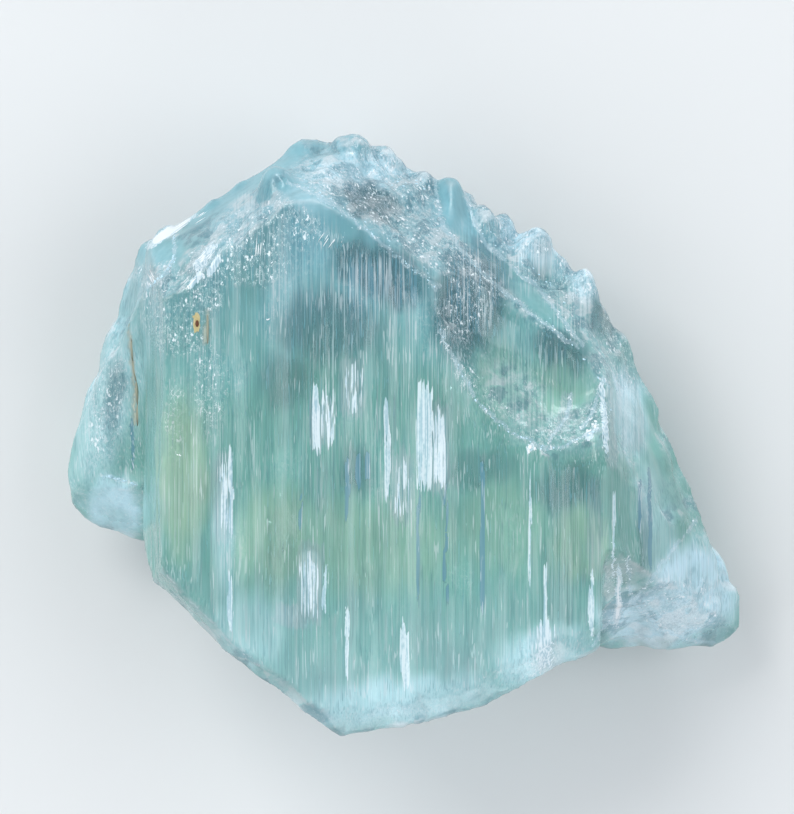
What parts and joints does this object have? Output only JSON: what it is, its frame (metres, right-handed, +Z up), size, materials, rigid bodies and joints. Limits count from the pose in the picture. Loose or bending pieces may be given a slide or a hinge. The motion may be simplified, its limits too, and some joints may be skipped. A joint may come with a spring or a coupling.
{
  "type": "aquamarine crystal",
  "caption": "Etched aquamarine crystal, one grown piece with striated prism faces, a stepped pitted termination and a broken root, lying on a flat back face.",
  "frame": {"origin": "middle of the bounding box's bottom face: the surface that the crystal lies on", "axes": "+Z up out of the broad striated prism face; +Y along the crystal's c axis, towards the etched termination; +X across it, the longest extent"},
  "size_m": [0.0596, 0.0528, 0.0245],
  "materials": {
    "aquamarine": "see-through pale blue-green beryl, fresh and glassy on breaks, finely striated along the axis and frosted where etched"
  },
  "bodies": {
    "root": {"aquamarine_crystal": "aquamarine"}
  },
  "joints": []
}
